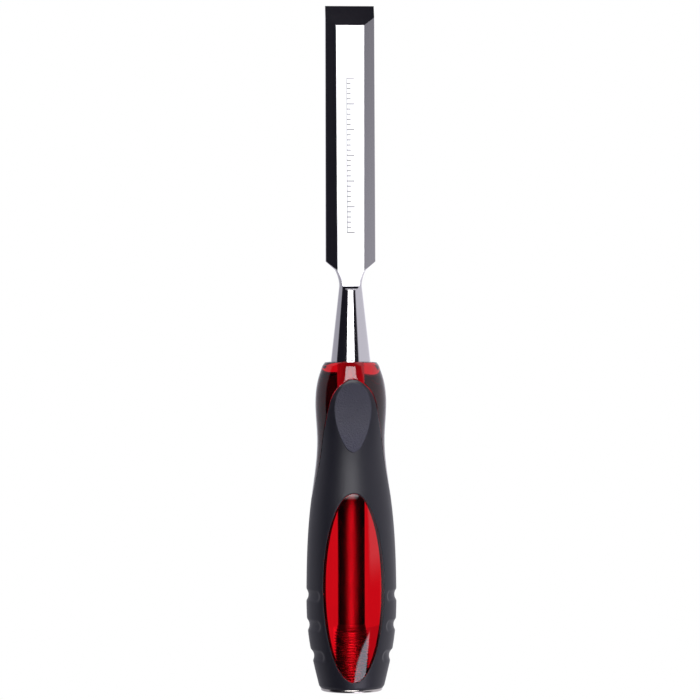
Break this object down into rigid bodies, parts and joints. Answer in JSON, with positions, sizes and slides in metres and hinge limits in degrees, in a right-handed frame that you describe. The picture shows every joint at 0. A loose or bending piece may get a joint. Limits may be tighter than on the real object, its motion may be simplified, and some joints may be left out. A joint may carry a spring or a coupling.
{
  "type": "bench chisel",
  "caption": "Bench chisel: bevel-edged steel blade with a through tang, clear red moulded core, black soft grip with oval windows, and a steel striking cap on a threaded stud.",
  "frame": {"origin": "centre of the striking cap's flat face, on the tool's axis", "axes": "+Z along the tool from the striking face to the cutting edge, +X across the blade, -Y is the bevelled front of the blade"},
  "size_m": [0.035, 0.035, 0.2667],
  "materials": {
    "blade_steel": "satin ground steel, brighter on the flat, with fine grinding lines and a round turned neck",
    "clear_red_plastic": "polished, see-through deep red moulded plastic",
    "black_grip": "semi-matt black soft moulding with a fine spark texture, coarser in the thumb scoops",
    "cap_steel": "polished turned steel",
    "stud_steel": "bright cut thread"
  },
  "bodies": {
    "root": {"blade": "blade_steel", "handle_core": "clear_red_plastic", "soft_grip": "black_grip", "striking_cap": "cap_steel", "cap_stud": "stud_steel"}
  },
  "joints": []
}
